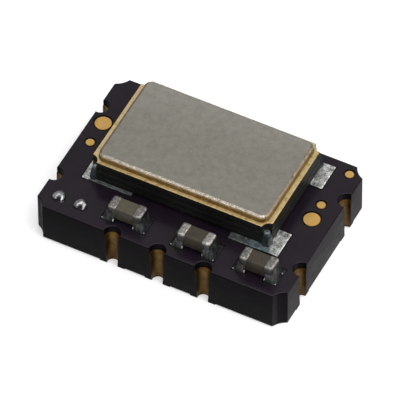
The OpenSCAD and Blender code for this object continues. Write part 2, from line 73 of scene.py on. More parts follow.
def shade(mesh, sharp):
    """Smooth shading apart from sharp edges and from the level faces, which stay flat."""
    mesh.set_sharp_from_angle(angle=math.radians(sharp))
    rounded = [abs(face.normal.z) < LEVEL_FACE for face in mesh.polygons]
    mesh.polygons.foreach_set("use_smooth", rounded)


def piece_from(name, points, faces, sharp=35):
    """A piece from points in mm and faces, smooth apart from its sharp edges."""
    mesh = bpy.data.meshes.new(name)
    mesh.from_pydata([tuple(c * MM for c in p) for p in points], [], faces)
    shell = bmesh.new()
    shell.from_mesh(mesh)
    bmesh.ops.recalc_face_normals(shell, faces=shell.faces)
    shell.to_mesh(mesh)
    shell.free()
    shade(mesh, sharp)
    piece = bpy.data.objects.new(name, mesh)
    bpy.context.scene.collection.objects.link(piece)
    return piece


def skin_faces(loop_count, n, first=0, ring=False):
    """Faces over loops of n points: a ring joins its last loop to its first, others are capped."""
    faces = []
    for a in range(loop_count if ring else loop_count - 1):
        low, high = first + a * n, first + (a + 1) % loop_count * n
        faces += [(low + i, low + (i + 1) % n, high + (i + 1) % n, high + i) for i in range(n)]
    if not ring:
        last = first + (loop_count - 1) * n
        faces += [tuple(range(first, first + n)), tuple(range(last, last + n))]
    return faces


def skin(name, loops, ring=False, sharp=35):
    """A closed piece whose skin runs over loops of equal length."""
    points = [p for loop in loops for p in loop]
    return piece_from(name, points, skin_faces(len(loops), len(loops[0]), ring=ring), sharp)


def at_height(outline, z):
    """The outline as a loop at one height."""
    return [(x, y, z) for x, y in outline]


def plate_loops(outline, levels):
    """Loops of a plate: at each level the outline, moved inwards by the inset, at its height."""
    return [at_height(soften(outline, inset), z) for inset, z in levels]


def cut_away(piece, *cutters):
    """Cuts the closed cutters out of a piece and throws them away."""
    for cutter in cutters:
        cut = piece.modifiers.new("cut", "BOOLEAN")
        cut.operation, cut.solver, cut.object = "DIFFERENCE", "EXACT", cutter
    bpy.context.view_layer.update()
    shape = piece.evaluated_get(bpy.context.evaluated_depsgraph_get())
    mesh = bpy.data.meshes.new_from_object(shape)
    piece.modifiers.clear()
    piece.data = mesh
    shade(mesh, 35)
    for cutter in cutters:
        bpy.data.objects.remove(cutter)


def board_outline():
    """The board's edge with its notches and scooped corners, starting on the front side."""
    cut, cutter_r = CORNER_CUT, CORNER_CUTTER_R
    reach = math.sqrt(cutter_r**2 - cut**2 / 2) / math.sqrt(2) - cut / 2
    lean = math.degrees(math.asin(NOTCH_INSET / NOTCH_R))
    scoop = math.degrees(math.atan(reach / (cut + reach)))
    long_side = (BOARD_L / 2, BOARD_W / 2, LONG_NOTCHES)
    short_side = (BOARD_W / 2, BOARD_L / 2, SHORT_NOTCHES)
    quarter_turns = ((1, 0), (0, 1), (-1, 0), (0, -1))
    outline = []
    for (half, depth, notches), (c, s) in zip((long_side, short_side) * 2, quarter_turns):
        run = []
        for u in notches:
            run += arc(u, -depth + NOTCH_INSET, NOTCH_R, 180 + lean, -lean, 28)
        run += arc(half + reach, -depth - reach, cutter_r, 180 - scoop, 90 + scoop, 12)
        outline += [(x * c - y * s, x * s + y * c) for x, y in run]
    return outline


board_levels = [(0.014, BOARD_BOTTOM), (0.004, BOARD_BOTTOM + 0.005), (0.0, BOARD_BOTTOM + 0.014)]
for inward, down in ((0.0, 1.0), (0.08, 0.6), (0.3, 0.3), (0.6, 0.08), (1.0, 0.0)):
    board_levels.append((EDGE_SOFT * inward, BOARD_TOP - EDGE_SOFT * down))
board = skin("board", plate_loops(board_outline(), board_levels), sharp=50)

# The middle and the diameter of each pad.
PROBE_PADS = (
    (-3.36, 0.82, 0.5),
    (-3.36, 0.06, 0.28),
    (3.18, 0.33, 0.5),
    (3.18, 0.89, 0.28),
    (3.38, 2.195, 0.28),
)
VIA_R = 0.1
VIAS = ((-3.24, -2.045), (-2.59, -2.045))
LAND_L, LAND_W = 1.5, 0.87
LANDS = ((-2.245, -0.71), (2.205, -0.83), (2.205, 1.81), (-2.245, 1.81))
CAP_Y, CAP_XS = -1.865, (-1.21, 0.86, 2.71)
CAP_LAND_L, CAP_LAND_W, CAP_LAND_X = 0.37, 0.62, 0.465
LAND_FLOOR, MASK_GAP = 1.26, 0.03
ABOVE_BOARD, BELOW_BOARD = 1.5, -0.1


def round_opening(x, y, r, bottom, steps=64):
    """A drum that cuts a round opening down from above the board."""
    outline = arc(x, y, r, 0, 360, steps)[:-1]
    return skin("cutter", [at_height(outline, z) for z in (bottom, ABOVE_BOARD)])


def land_opening(x, y, length, width):
    """A block that cuts the opening of one land, wider than the land by a gap all round."""
    a, b = length / 2 + MASK_GAP, width / 2 + MASK_GAP
    outline = [(x - a, y - b), (x + a, y - b), (x + a, y + b), (x - a, y + b)]
    return skin("cutter", [at_height(outline, z) for z in (LAND_FLOOR, ABOVE_BOARD)])


openings = [round_opening(x, y, d / 2 + MASK_GAP, LAND_FLOOR) for x, y, d in PROBE_PADS]
openings += [round_opening(x, y, VIA_R, BELOW_BOARD, steps=32) for x, y in VIAS]
openings += [land_opening(x, y, LAND_L, LAND_W) for x, y in LANDS]
for cap_x in CAP_XS:
    for side in (-1, 1):
        openings.append(land_opening(cap_x + side * CAP_LAND_X, CAP_Y, CAP_LAND_L, CAP_LAND_W))
cut_away(board, *openings)


def grained(name, colours, per_mm, rough, bump=0.0, bump_per_mm=None, stretch=(1, 1, 1),
            specks=None, painted_flanks=None, painted_sheen=None, **constants):
    """A finish whose colour, gloss and relief follow the grain of its own noise.

    Specks are a colour, its grains per mm and the level from which it shows; the flank colours
    are the colours that take over on steep faces, as painted light and shade by slope; the sheen
    side is a direction, the two distances in mm along it between which the finish changes, and the
    colours it changes to, a painted sheen.
    """
    grain_low, grain_high = 0.3, 0.7
    steep, level_enough = 0.35, 0.8
    speck_edge, relief_mm = 0.06, 0.02
    finish = bpy.data.materials.new(name)
    finish.use_nodes = True
    nodes, link = finish.node_tree.nodes, finish.node_tree.links.new
    shader = nodes["Principled BSDF"]
    for socket, value in constants.items():
        shader.inputs[socket.replace("_", " ")].default_value = value
    place = nodes.new("ShaderNodeTexCoord")
    turn = nodes.new("ShaderNodeMapping")
    turn.inputs["Scale"].default_value = stretch
    link(place.outputs["Object"], turn.inputs["Vector"])

    def noise_at(scale, depth, roughness=0.55):
        """The level of a noise with its scale in grains per mm."""
        grain = nodes.new("ShaderNodeTexNoise")
        grain.inputs["Scale"].default_value = scale / MM
        grain.inputs["Detail"].default_value = depth
        grain.inputs["Roughness"].default_value = roughness
        link(turn.outputs["Vector"], grain.inputs["Vector"])
        return grain.outputs["Fac"]

    def ranged(value, low, high, to_low=0.0, to_high=1.0):
        """A value carried over from one range to another."""
        span = nodes.new("ShaderNodeMapRange")
        limits = {"From Min": low, "From Max": high, "To Min": to_low, "To Max": to_high}
        for socket, limit in limits.items():
            span.inputs[socket].default_value = limit
        link(value, span.inputs["Value"])
        return span.outputs["Result"]

    def shades(value, steps):
        """Colours that follow a value, evenly spread over the range of the grain."""
        ramp = nodes.new("ShaderNodeValToRGB")
        stops = ramp.color_ramp.elements
        for i, colour in enumerate(steps):
            at = grain_low + (grain_high - grain_low) * i / (len(steps) - 1)
            stop = stops[i] if i < 2 else stops.new(at)
            stop.position = at
            stop.color = (*colour, 1)
        link(value, ramp.inputs["Fac"])
        return ramp.outputs["Color"]

    def mixed(share, under, over):
        """One colour over another by a share; the upper one is plain or follows a value."""
        mix = nodes.new("ShaderNodeMix")
        mix.data_type = "RGBA"
        link(share, mix.inputs[0])
        link(under, mix.inputs[6])
        if isinstance(over, tuple):
            mix.inputs[7].default_value = (*over, 1)
        else:
            link(over, mix.inputs[7])
        return mix.outputs[2]

    grain = noise_at(per_mm, 5.0)
    colour = shades(grain, colours)
    # Painted light and shade: steep faces take their own colours, set by the slope of the face
    # alone.
    if painted_flanks:
        facing = nodes.new("ShaderNodeSeparateXYZ")
        link(nodes.new("ShaderNodeNewGeometry").outputs["Normal"], facing.inputs[0])
        on_top = ranged(facing.outputs["Z"], steep, level_enough)
        colour = mixed(on_top, shades(grain, painted_flanks), colour)
    # Painted sheen: the colour changes along a direction in the object's own space, standing in for
    # a reflection.
    if painted_sheen:
        direction, near, far, sheen_colours = painted_sheen
        along = nodes.new("ShaderNodeVectorMath")
        along.operation = "DOT_PRODUCT"
        link(place.outputs["Object"], along.inputs[0])
        along.inputs[1].default_value = direction
        beyond = ranged(along.outputs["Value"], near * MM, far * MM)
        colour = mixed(beyond, colour, shades(grain, sheen_colours))
    if specks:
        speck, speck_per_mm, level = specks
        in_speck = ranged(noise_at(speck_per_mm, 2.0), level, level + speck_edge)
        colour = mixed(in_speck, colour, speck)
    link(colour, shader.inputs["Base Color"])
    gloss = ranged(noise_at(per_mm * 1.7, 3.0), grain_low, grain_high, *rough)
    link(gloss, shader.inputs["Roughness"])
    if bump:
        relief = nodes.new("ShaderNodeBump")
        relief.inputs["Strength"].default_value = bump
        relief.inputs["Distance"].default_value = relief_mm * MM
        link(noise_at(bump_per_mm or per_mm * 2, 6.0, 0.6), relief.inputs["Height"])
        link(relief.outputs["Normal"], shader.inputs["Normal"])
    return finish


cut_laminate = grained(
    "cut_laminate", [(0.0011, 0.0008, 0.0012), (0.0024, 0.0015, 0.0024)],
    per_mm=2.5, rough=(0.45, 0.56),
    bump=0.12, bump_per_mm=7, stretch=(0.6, 0.6, 1.6), Specular_IOR_Level=0.032,
)
solder_mask = grained(
    "solder_mask", [(0.0048, 0.0026, 0.0056), (0.0072, 0.0038, 0.0082), (0.0060, 0.0048, 0.0060)],
    per_mm=1.1, rough=(0.2, 0.28), bump=0.06, bump_per_mm=6, Specular_IOR_Level=0.32,
)
# Painted light: the board's ends take a lighter copy of the laminate, as if lit from the side.
lit_end_laminate = grained(
    "lit_end_laminate", [(0.0023, 0.0013, 0.0021), (0.0052, 0.0030, 0.0046)],
    per_mm=2.5, rough=(0.45, 0.56),
    bump=0.16, bump_per_mm=9, stretch=(0.6, 0.6, 1.6), Specular_IOR_Level=0.06,
)
LIT_END_DEPTH, UP_FACING, END_FACING = 0.35, 0.97, 0.8
for finish in (cut_laminate, solder_mask, lit_end_laminate):
    board.data.materials.append(finish)
for face in board.data.polygons:
    near_end = abs(face.center.x / MM) > BOARD_L / 2 - LIT_END_DEPTH
    if face.normal.z > UP_FACING:
        face.material_index = 1
    elif near_end and abs(face.normal.x) > END_FACING:
        face.material_index = 2
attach(board, "root")
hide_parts("circuit_board")

# Edge terminals. Each is the copper lining of a half-round notch and the foot under it, gold
# plated. The lining was drilled through with the board, stops short of the top face, and gets a
# little thicker towards the foot.
FOOT_W, FOOT_L, FOOT_CORNER_R = 0.75, 0.95, 0.06
LINING_TOP = 1.08
# Heights up the lining, with the radius of its bore there.
LINING_BORE = (
    (BOARD_BOTTOM, 0.166),
    (0.2, 0.176),
    (0.45, 0.185),
    (0.8, 0.191),
    (LINING_TOP - 0.03, 0.195),
    (LINING_TOP, 0.209),
)
# Painted shade: the terminals' plating is painted far darker than the pads' gold, as the shade in
# the notches.
shaded_terminal_gold = grained(
    "shaded_terminal_gold", [(0.046, 0.023, 0.0054), (0.088, 0.050, 0.0138), (0.115, 0.070, 0.0238)],
    per_mm=4, rough=(0.34, 0.5), bump=0.3, bump_per_mm=8, Metallic=1.0,
)
# Painted shade: the feet's sides and the lining's ends on the board's edge are painted near black,
# as the shade under and beside the board.
shaded_outer_edge = grained(
    "shaded_outer_edge", [(0.0035, 0.0026, 0.0022), (0.008, 0.0058, 0.004)],
    per_mm=7, rough=(0.55, 0.7), bump=0.2, Specular_IOR_Level=0.05,
)


def notch_arc(r, backwards=False):
    """The wall of a notch on the board's edge, from its right to its left or backwards."""
    lean = math.degrees(math.asin(NOTCH_INSET / r))
    start, end = (180 + lean, -lean) if backwards else (-lean, 180 + lean)
    return arc(0, NOTCH_INSET, r, start, end, 30)


def foot_outline():
    """The foot under a notch, with the notch's mouth in its outer edge."""
    side, back, r = FOOT_W / 2, FOOT_L - FOOT_CORNER_R, FOOT_CORNER_R
    outline = [(-side, 0.0)] + notch_arc(LINING_BORE[0][1], backwards=True) + [(side, 0.0)]
    return outline + arc(side - r, back, r, 0, 90, 6) + arc(-side + r, back, r, 90, 180, 6)


def edge_terminal(number, x, y, turn):
    """The lining and foot of one notch, turned so that the foot points into the board."""
    lining = [at_height(notch_arc(r) + notch_arc(NOTCH_R)[::-1], z) for z, r in LINING_BORE]
    foot = plate_loops(foot_outline(), [(0.008, 0.0), (0.0, 0.008), (0.0, BOARD_BOTTOM)])
    lining_points = [p for loop in lining for p in loop]
    faces = skin_faces(len(lining), len(lining[0]))
    faces += skin_faces(len(foot), len(foot[0]), first=len(lining_points))
    c, s = math.cos(math.radians(turn)), math.sin(math.radians(turn))
    placed = [
        (x + px * c - py * s, y + px * s + py * c, pz)
        for px, py, pz in lining_points + [p for loop in foot for p in loop]
    ]
    terminal = piece_from(f"edge_terminal_{number}", placed, faces)
    terminal.data.materials.append(shaded_terminal_gold)
    terminal.data.materials.append(shaded_outer_edge)
    for face in terminal.data.polygons:
        inward = (face.center.x / MM - x) * -s + (face.center.y / MM - y) * c
        faces_out = abs(face.normal.x * s - face.normal.y * c) > 0.9
        round_foot = face.center.z < BOARD_BOTTOM * MM and abs(face.normal.z) < 0.7
        if round_foot or inward < 0.002 and faces_out:
            face.material_index = 1
    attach(terminal, "root")
    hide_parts(f"castellation_{number}")


notch_places = [(x, -BOARD_W / 2, 0) for x in LONG_NOTCHES]
notch_places += [(BOARD_L / 2, y, 90) for y in SHORT_NOTCHES]
notch_places += [(x, BOARD_W / 2, 180) for x in LONG_NOTCHES[::-1]]
notch_places += [(-BOARD_L / 2, y, 270) for y in SHORT_NOTCHES[::-1]]
for number, (x, y, turn) in enumerate(notch_places, 1):
    edge_terminal(number, x, y, turn)

# Probe pads. Round copper lands, gold plated, that a test probe touches. The mask stops a hair
# short of each; the pad's bevelled edge is painted in darker gold as shade, which shows as a dark
# ring.
PAD_LEVELS = (
    (0.0, LAND_FLOOR),
    (0.0, BOARD_TOP - 0.016),
    (0.006, BOARD_TOP - 0.007),
    (0.014, BOARD_TOP - 0.002),
    (0.022, BOARD_TOP),
)
pad_gold = grained(
    "pad_gold", [(0.60, 0.34, 0.085), (0.74, 0.46, 0.13), (0.68, 0.41, 0.16)],
    per_mm=5, rough=(0.34, 0.46), bump=0.15, bump_per_mm=14, Metallic=0.9,
)
for number, (x, y, d) in enumerate(PROBE_PADS, 1):
    pad_loops = plate_loops(arc(x, y, d / 2, 0, 360, 56)[:-1], PAD_LEVELS)
    pad = skin(f"probe_pad_piece_{number}", pad_loops, sharp=60)
    pad.data.materials.append(pad_gold)
    pad.data.materials.append(shaded_terminal_gold)
    # Painted shade: only the level top keeps the bright gold; the bevelled edge takes the darker
    # gold.
    for face in pad.data.polygons:
        face.material_index = 0 if face.normal.z > LEVEL_FACE else 1
    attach(pad, "root")
    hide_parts(f"probe_pad_{number}")

# Filled vias. Each drilled hole is full of solder, which froze as a bead a little wider than the
# hole and a hair to its back right, with a hollow in its front where the flux gas came out.
FILL_R = VIA_R - 0.002
BEAD_R, BEAD_H = 0.188, 0.155
BEAD_AROUND, BEAD_STEPS = 64, 22
BEAD_SHIFT_X, BEAD_SHIFT_Y = 0.045, 0.035
# Where round a bead, on a circle of radius 1, it swells into its two feet.
BEAD_LEGS = ((-0.82, -0.57), (0.68, -0.73))
BEAD_LEG_SWELL, BEAD_LEG_SPREAD, BEAD_BACK_TAPER = 0.16, 0.14, 0.3
PIT_X, PIT_Y, PIT_HALF_L, PIT_HALF_W = 0.035, -0.18, 0.05, 0.095
PIT_DEPTH, PIT_PULL, PIT_DARK_FROM = 0.9, 0.34, 0.42
# Painted light and shade: the bead's top is bright and its steep sides dark, and the faces deep in
# its hollow are painted near black as the shade in it.
via_solder = grained(
    "via_solder", [(0.15, 0.154, 0.154), (0.29, 0.294, 0.294), (0.44, 0.444, 0.444)],
    per_mm=9, rough=(0.3, 0.44), bump=0.6, bump_per_mm=15,
    painted_flanks=[(0.03, 0.031, 0.032), (0.13, 0.133, 0.135)], Metallic=1.0,
)
pit_shade = grained(
    "pit_shade", [(0.006, 0.005, 0.006), (0.016, 0.015, 0.016)],
    per_mm=12, rough=(0.45, 0.6), bump=0.3, Specular_IOR_Level=0.15,
)


def lumps(x, y, z, per_mm, size):
    """The unevenness in mm of frozen solder at a point in mm."""
    return size * noise.noise(Vector((x * per_mm, y * per_mm, z * per_mm)))


def bead_loop(number, turns, step):
    """One loop of a via's bead round its own middle, and how deep each point lies in the pit."""
    lean = math.radians(90 * step / BEAD_STEPS)
    r, z = BEAD_R * math.cos(lean) + 0.001, BEAD_H * math.sin(lean)
    loop, pits = [], []
    for c, s in turns:
        dent = abs(lumps(c * 0.1 + number, s * 0.1, z, per_mm=13, size=0.12))
        swell = 1 - dent * math.cos(lean * 0.6)
        leg = max(
            math.exp(-((c - leg_c) ** 2 + (s - leg_s) ** 2) / BEAD_LEG_SPREAD)
            for leg_c, leg_s in BEAD_LEGS
        )
        swell += BEAD_LEG_SWELL * leg * math.cos(lean) ** 2
        px, py = r * c * swell * (1 - BEAD_BACK_TAPER * max(0.0, s)), r * s * swell
        pit = math.exp(-(((px - PIT_X) / PIT_HALF_L) ** 2 + ((py - PIT_Y) / PIT_HALF_W) ** 2))
        dent = abs(lumps(px, py, number, per_mm=14, size=0.2))
        height = z * (1 - PIT_DEPTH * pit) * (1 - dent)
        loop.append((px, py * (1 - PIT_PULL * pit), height))
        pits.append(pit)
    return loop, pits


def via_bead(number, x, y):
    """The solder in one via and the bead on it."""
    angles = [2 * math.pi * i / BEAD_AROUND for i in range(BEAD_AROUND)]
    turns = [(math.cos(a), math.sin(a)) for a in angles]
    fill = [(x + FILL_R * c, y + FILL_R * s) for c, s in turns]
    loops = [at_height(fill, BOARD_BOTTOM), at_height(fill, BOARD_TOP)]
    bead_start = len(loops) * BEAD_AROUND
    pits = []
    for step in range(BEAD_STEPS + 1):
        loop, loop_pits = bead_loop(number, turns, step)
        pits += loop_pits
        loops.append([
            (x + BEAD_SHIFT_X + px, y + BEAD_SHIFT_Y + py, BOARD_TOP + 0.001 + pz)
            for px, py, pz in loop
        ])
    via = skin(f"via_bead_{number}", loops, sharp=70)
    via.data.materials.append(via_solder)
    via.data.materials.append(pit_shade)
    for face in via.data.polygons:
        depths = [pits[v - bead_start] for v in face.vertices if v >= bead_start]
        if depths and sum(depths) / len(depths) > PIT_DARK_FROM:
            face.material_index = 1
    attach(via, "root")
    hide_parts(f"filled_via_{number}")


for number, (x, y) in enumerate(VIAS, 1):
    via_bead(number, x, y)

# Package lands. Tinned copper under the corners of the ceramic package; the mask leaves a gap
# round them.
tinned_land = grained(
    "tinned_land", [(0.12, 0.12, 0.11), (0.24, 0.24, 0.22)],
    per_mm=6, rough=(0.36, 0.5), bump=0.4, bump_per_mm=14, Metallic=1.0,
)


def refinish(node, finish):
    """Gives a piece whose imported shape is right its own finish."""
    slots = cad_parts[node].data.materials
    slots.clear()
    slots.append(finish)


for number in range(1, 5):
    refinish(f"package_land_{number}", tinned_land)

# Ceramic package: base. Dark alumina sheets, pressed and fired together, with a quarter-round
# hollow at each corner, and a sealed cavity inside.
PACK_L, PACK_W, PACK_X, PACK_Y = 5.38, 3.25, -0.09, 0.56
HOLLOW_R = 0.22
CERAMIC_BOTTOM, CERAMIC_TOP = 1.355, 2.025
CAVITY_FLOOR, SHELF_TOP = 1.515, 1.745
CAVITY_L, CAVITY_W, CAVITY_R = 4.38, 2.31, 0.12
END_SHELF_W, SIDE_SHELF_W = 0.6, 0.2
SEAM_HALF_H, SEAM_DEPTH = 0.007, 0.004
CORNER_STEPS = 18


def package_outline(hollow_r=HOLLOW_R):
    """The ceramic's outline, counter-clockwise, with its four corner hollows."""
    a, b, steps = PACK_L / 2, PACK_W / 2, CORNER_STEPS
    outline = arc(a, -b, hollow_r, 180, 90, steps) + arc(a, b, hollow_r, 270, 180, steps)
    outline += arc(-a, b, hollow_r, 0, -90, steps) + arc(-a, -b, hollow_r, 90, 0, steps)
    return [(PACK_X + x, PACK_Y + y) for x, y in outline]


def round_cornered(a, b, r, steps):
    """A rectangle of half length a and half width b with round corners, about its middle."""
    a, b = a - r, b - r
    outline = arc(a, -b, r, -90, 0, steps) + arc(a, b, r, 0, 90, steps)
    return outline + arc(-a, b, r, 90, 180, steps) + arc(-a, -b, r, 180, 270, steps)


def on_package(length, width, r):
    """A round-cornered outline on the package, with its points in the hollows' order."""
    outline = round_cornered(length / 2, width / 2, r, CORNER_STEPS)
    return [(PACK_X + x, PACK_Y + y) for x, y in outline]


cavity_wall = on_package(CAVITY_L, CAVITY_W, CAVITY_R)
well_wall = on_package(CAVITY_L - 2 * END_SHELF_W, CAVITY_W - 2 * SIDE_SHELF_W, CAVITY_R)
ceramic_levels = [(0.01, CERAMIC_BOTTOM), (0.0, CERAMIC_BOTTOM + 0.01)]
for seam in (CAVITY_FLOOR, SHELF_TOP):
    ceramic_levels += [(0.0, seam - SEAM_HALF_H), (SEAM_DEPTH, seam), (0.0, seam + SEAM_HALF_H)]
ceramic_levels.append((0.0, CERAMIC_TOP))
ceramic = skin("ceramic_body", [
    *plate_loops(package_outline(), ceramic_levels),
    at_height(cavity_wall, CERAMIC_TOP),
    at_height(cavity_wall, SHELF_TOP),
    at_height(well_wall, SHELF_TOP),
    at_height(well_wall, CAVITY_FLOOR),
])
package_ceramic = grained(
    "package_ceramic", [(0.0022, 0.0021, 0.0019), (0.0052, 0.0049, 0.0044)],
    per_mm=8, rough=(0.5, 0.62), bump=0.3, bump_per_mm=22, Specular_IOR_Level=0.17,
)
ceramic.data.materials.append(package_ceramic)
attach(ceramic, "root")
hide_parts("ceramic_base")

# Package solder. Solder that joins each terminal to its land: a thin film over the open part of
# the land, matt and full of small crystals at the ends and smoother along the front and back, where
# it is painted dark as the package's shade and dark reflection; and a column that climbs the corner
# hollow, clear and bluish in front and painted dark as shade at the back.
FILM_H, JOINT_H, CLIMB_H = 0.03, 0.05, 0.5
POOL_EDGE = (0.0, 0.003, 0.008, 0.016)
POOL_MIN_H, POOL_RIM_H = 0.006, 0.0015
BORE_R, BORE_BOTTOM, BORE_TOP = 0.205, 1.34, 2.2
COVER_GAP, COLUMN_REACH, COLUMN_FOOT_H = 0.02, 0.2, 0.05
GLASSY_SLANT, BLUISH_PAST_SIDE, BLUISH_PAST_END = 0.9, -0.05, -0.6
CORNERS = ((-1, -1), (1, -1), (1, 1), (-1, 1))


def pool_lines(low, high, pitch):
    """Grid lines across a pool, close together along its edges."""
    span = high - low - 2 * POOL_EDGE[-1]
    count = round(span / pitch)
    inner = [low + POOL_EDGE[-1] + span * i / count for i in range(1, count)]
    return [low + d for d in POOL_EDGE] + inner + [high - d for d in reversed(POOL_EDGE)]


def solder_pool(name, middle, size, height_at, pitch, uneven):
    """A pool of solder over a land, its top at the height that height_at gives above the board."""
    x0, x1 = middle[0] - size[0] / 2, middle[0] + size[0] / 2
    y0, y1 = middle[1] - size[1] / 2, middle[1] + size[1] / 2
    xs, ys = pool_lines(x0, x1, pitch), pool_lines(y0, y1, pitch)
    row, nx, ny = len(xs), len(xs) - 1, len(ys) - 1
    top = []
    for y in ys:
        for x in xs:
            shoulder = min(1.0, min(x - x0, x1 - x, y - y0, y1 - y) / POOL_EDGE[-1])
            h = height_at(x, y) + lumps(x, y, 1.0, per_mm=7, size=uneven)
            h += lumps(x, y, 5.0, per_mm=23, size=uneven * 0.7)
            h = max(POOL_RIM_H, max(POOL_MIN_H, h) * math.sqrt(1 - (1 - shoulder) ** 2))
            top.append((x, y, BOARD_TOP + h))
    starts = [j * row + i for j in range(ny) for i in range(nx)]
    faces = [(a, a + 1, a + row + 1, a + row) for a in starts]
    rim = list(range(row)) + [j * row + nx for j in range(1, ny + 1)]
    rim += [ny * row + i for i in range(nx - 1, -1, -1)] + [j * row for j in range(ny - 1, 0, -1)]
    foot = [len(top) + i for i in range(len(rim))]
    for i, a in enumerate(rim):
        after = (i + 1) % len(rim)
        faces.append((a, foot[i], foot[after], rim[after]))
    faces.append(tuple(reversed(foot)))
    return piece_from(name, top + [(top[i][0], top[i][1], BOARD_TOP) for i in rim], faces, sharp=60)


# Painted shade: the smoother film beside the package is painted dark, as the package's shade and
# the dark wall it mirrors, and its steep faces darker still.
shaded_glassy_solder = grained(
    "shaded_glassy_solder", [(0.021, 0.025, 0.0245), (0.063, 0.069, 0.067), (0.147, 0.158, 0.154)],
    per_mm=6, rough=(0.28, 0.42), bump=0.15, bump_per_mm=9,
    painted_flanks=[(0.006, 0.008, 0.009), (0.022, 0.028, 0.030)], Metallic=0.45,
)
# Painted shade: the steep faces of this film take darker colours than its level top.
matt_solder = grained(
    "matt_solder", [(0.185, 0.19, 0.185), (0.55, 0.555, 0.535), (0.93, 0.935, 0.91)],
    per_mm=7, rough=(0.36, 0.5), bump=0.7, bump_per_mm=22,
    specks=((0.08, 0.082, 0.08), 22, 0.58),
    painted_flanks=[(0.03, 0.035, 0.036), (0.10, 0.11, 0.112)], Metallic=1.0,
)
# Painted shade: the column's steep faces take darker colours than its top.
climbed_solder = grained(
    "climbed_solder", [(0.035, 0.048, 0.052), (0.10, 0.135, 0.145), (0.21, 0.265, 0.28)],
    per_mm=7, rough=(0.26, 0.4), bump=0.2, bump_per_mm=12,
    painted_flanks=[(0.012, 0.017, 0.019), (0.05, 0.068, 0.074)], Metallic=0.6,
)
# Painted shade: the back columns are painted near black, as the shade behind the package.
shaded_solder = grained(
    "shaded_solder", [(0.005, 0.006, 0.0065), (0.013, 0.0155, 0.017)],
    per_mm=7, rough=(0.45, 0.6), bump=0.2, bump_per_mm=12, Specular_IOR_Level=0.08,
)


def package_joint(number, land, sign_x, sign_y):
    """The solder at one corner of the package; joint 2, front right, is the fullest."""
    full = number == 2
    column_half, bluntness = (0.16, 5.0) if full else (0.14, 3)
    corner_x, corner_y = PACK_X + sign_x * PACK_L / 2, PACK_Y + sign_y * PACK_W / 2

    def joint_height(x, y):
        """Height above the board: a film, thicker under the package, and the column."""
        across, along = (x - corner_x) * sign_x, (y - corner_y) * sign_y
        if across < 0 and along < 0 and math.hypot(across, along) > HOLLOW_R + COVER_GAP:
            return JOINT_H
        outward, aside = (across + along) / math.sqrt(2), (across - along) / math.sqrt(2)
        away = math.hypot(max(0.0, outward + COLUMN_REACH) / COLUMN_REACH, aside / column_half)
        return FILM_H + (CLIMB_H - FILM_H) * max(0.0, 1 - away ** bluntness)

    name, size = f"package_joint_{number}", (LAND_L, LAND_W)
    joint = solder_pool(name, land, size, joint_height, pitch=0.014, uneven=0.003)
    lining = package_outline(BORE_R)
    cut_away(joint, skin("cutter", [at_height(lining, BORE_BOTTOM), at_height(lining, BORE_TOP)]))
    for finish in (shaded_glassy_solder, matt_solder, climbed_solder if number < 3 else shaded_solder):
        joint.data.materials.append(finish)
    for face in joint.data.polygons:
        px, py, pz = face.center / MM
        past_end, past_side = (px - corner_x) * sign_x, (py - corner_y) * sign_y
        ragged = lumps(px, py, 3.0, per_mm=9, size=0.12)
        matt_from = ragged - 0.01 + (GLASSY_SLANT * max(0.0, past_side) if full else 0.0)
        beside_column = past_side > BLUISH_PAST_SIDE and past_end > BLUISH_PAST_END + 4 * ragged
        if pz > BOARD_TOP + FILM_H + COLUMN_FOOT_H:
            face.material_index = 2
        elif past_end > matt_from:
            face.material_index = 1
        elif full and beside_column:
            face.material_index = 2
    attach(joint, "root")
    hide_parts(f"package_solder_{number}")


for number, (land, signs) in enumerate(zip(LANDS, CORNERS), 1):
    package_joint(number, land, *signs)

# Package terminals. Metal printed under the ceramic and up its corner hollows, gold plated; the
# solder has wetted and dulled it.
hollow_metal = grained(
    "hollow_metal", [(0.016, 0.012, 0.007), (0.045, 0.034, 0.018)],
    per_mm=7, rough=(0.4, 0.55), bump=0.3, bump_per_mm=20, Metallic=0.9,
)
for number in range(1, 5):
    refinish(f"package_terminal_{number}", hollow_metal)

# Gold rim. Metal printed on the ceramic's top, gold plated, which the ring is brazed to. It shows
# as a bright ledge outside the ring.
RIM_TOP = 2.04
rim_levels = [(0.002, RIM_TOP - 0.002), (0.009, RIM_TOP)]
rim = skin("gold_ledge", [
    at_height(package_outline(), CERAMIC_TOP),
    at_height(package_outline(), RIM_TOP - 0.007),
    *plate_loops(package_outline(), rim_levels),
    at_height(cavity_wall, RIM_TOP),
    at_height(cavity_wall, CERAMIC_TOP),
], ring=True)
ledge_gold = grained(
    "ledge_gold", [(0.53, 0.39, 0.15), (0.82, 0.64, 0.31), (0.74, 0.54, 0.34)],
    per_mm=6, rough=(0.34, 0.48),
    # Painted shade: the ledge's steep outer edge takes darker gold than its top.
    bump=0.3, bump_per_mm=16, painted_flanks=[(0.10, 0.065, 0.022), (0.17, 0.115, 0.045)], Metallic=1.0,
)
rim.data.materials.append(ledge_gold)
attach(rim, "root")
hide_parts("gold_rim")

# Sealing ring. A punched frame of iron-nickel alloy, gold plated and brazed to the rim, with a
# fillet of braze at its foot.
RING_L, RING_W, RING_R = 5.08, 3.01, 0.22
RING_TOP = 2.14
RING_LEVELS = (
    (-0.02, RIM_TOP),
    (-0.006, RIM_TOP + 0.006),
    (0.0, RIM_TOP + 0.02),
    (0.0, RING_TOP - 0.02),
    (0.006, RING_TOP - 0.006),
    (0.02, RING_TOP),
)
ring = skin("seal_ring", [
    *plate_loops(on_package(RING_L, RING_W, RING_R), RING_LEVELS),
    at_height(cavity_wall, RING_TOP),
    at_height(cavity_wall, RIM_TOP),
], ring=True, sharp=50)
